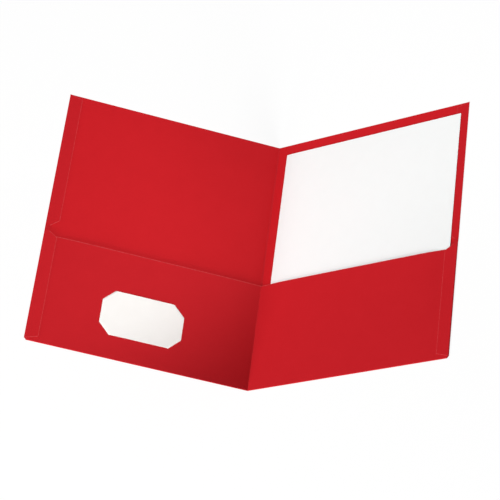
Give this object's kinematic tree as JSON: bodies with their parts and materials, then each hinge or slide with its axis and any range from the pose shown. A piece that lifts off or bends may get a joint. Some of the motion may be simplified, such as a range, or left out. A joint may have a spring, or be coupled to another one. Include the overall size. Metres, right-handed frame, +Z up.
{
  "type": "two pocket folder",
  "caption": "Open cardstock pocket folder with folded and glued edges, a name card held in corner slits and loose sheets in the back pocket.",
  "frame": {"origin": "middle of the back cover's outer face, which lies on the table", "axes": "+X from the spine to the back cover's outer edge, +Y from the folder's bottom edge to its top edge, +Z up from the table, towards the reader"},
  "size_m": [0.3945, 0.2984, 0.189],
  "materials": {
    "cardstock": "matte red scored cardstock",
    "sheet_paper": "matte white writing paper",
    "name_card": "smooth white card",
    "glue": "dried glue film"
  },
  "bodies": {
    "back": {"back_cover": "cardstock", "back_pocket": "cardstock", "back_bottom_fold": "cardstock", "back_side_fold": "cardstock", "back_edge_neck": "cardstock", "back_hem_fold": "cardstock", "back_side_flap": "cardstock", "back_flap_glue": "glue", "back_edge_hem": "cardstock", "back_hem_glue": "glue", "spine_crease": "cardstock", "pocket_crease": "cardstock", "foot_crease": "cardstock"},
    "front": {"front_cover": "cardstock", "front_pocket": "cardstock", "front_bottom_fold": "cardstock", "front_side_fold": "cardstock", "front_edge_neck": "cardstock", "front_hem_fold": "cardstock", "front_side_flap": "cardstock", "front_flap_glue": "glue", "front_edge_hem": "cardstock", "front_hem_glue": "glue", "name_card": "name_card"},
    "rear_sheet": {"rear_sheet": "sheet_paper"},
    "middle_sheet": {"middle_sheet": "sheet_paper"},
    "front_sheet": {"front_sheet": "sheet_paper"}
  },
  "joints": [
    {"name": "front_cover_fold", "type": "hinge", "parent": "back", "child": "front", "pos_m": [-0.12065, 0, 0.0019], "axis": [0, 1, 0], "range_deg": [-51, 129], "deforming": ["spine_crease", "pocket_crease", "foot_crease"]},
    {"name": "rear_sheet_slide", "type": "slide", "parent": "back", "child": "rear_sheet", "axis": [0, 1, 0], "range_m": [-0.0054, 0.3]},
    {"name": "middle_sheet_slide", "type": "slide", "parent": "back", "child": "middle_sheet", "axis": [0, 1, 0], "range_m": [-0.0054, 0.3]},
    {"name": "front_sheet_slide", "type": "slide", "parent": "back", "child": "front_sheet", "axis": [0, 1, 0], "range_m": [-0.0054, 0.3]}
  ]
}
